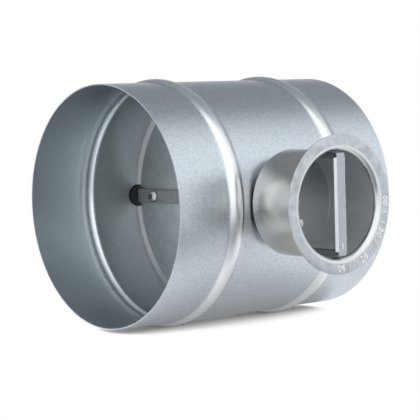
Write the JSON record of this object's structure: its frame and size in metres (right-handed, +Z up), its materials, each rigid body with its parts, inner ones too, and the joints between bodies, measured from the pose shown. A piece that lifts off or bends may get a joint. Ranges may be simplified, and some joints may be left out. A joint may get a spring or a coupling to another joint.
{
  "type": "round control damper",
  "caption": "Beaded round duct section with a turning blade inside, set by a channel handle across a standing cup whose rim carries an angle scale.",
  "frame": {"origin": "centre of the inlet mouth, on the duct's axis", "axes": "+X along the duct from the inlet mouth to the outlet mouth, the handle cup stands out towards -Y, +Z up"},
  "size_m": [0.184, 0.2103, 0.1642],
  "materials": {
    "galvanised_sheet": "satin, fine spangle",
    "cup_steel": "satin, drawn",
    "zinc_fastener": "bright zinc",
    "black_nylon": "matt",
    "black_rubber": "matt"
  },
  "bodies": {
    "casing": {"casing": "galvanised_sheet", "seat_gasket": "black_rubber", "handle_cup": "cup_steel", "cup_rivets": "zinc_fastener", "near_bush": "black_nylon", "far_bush": "black_nylon"},
    "damper": {"blade": "galvanised_sheet", "front_strap": "galvanised_sheet", "back_strap": "galvanised_sheet", "strap_screws": "zinc_fastener", "strap_washers": "zinc_fastener", "strap_nuts": "zinc_fastener", "near_pivot": "black_nylon", "far_pivot": "black_nylon", "pivot_clip": "zinc_fastener", "friction_washer": "zinc_fastener", "handle_base": "galvanised_sheet", "handle_bridge": "galvanised_sheet", "handle_rivets": "zinc_fastener", "hub_screw": "zinc_fastener"}
  },
  "joints": [
    {"name": "blade_turn", "type": "hinge", "parent": "casing", "child": "damper", "pos_m": [0.092, 0, 0], "axis": [0, -1, 0], "range_deg": [0, 90]}
  ]
}
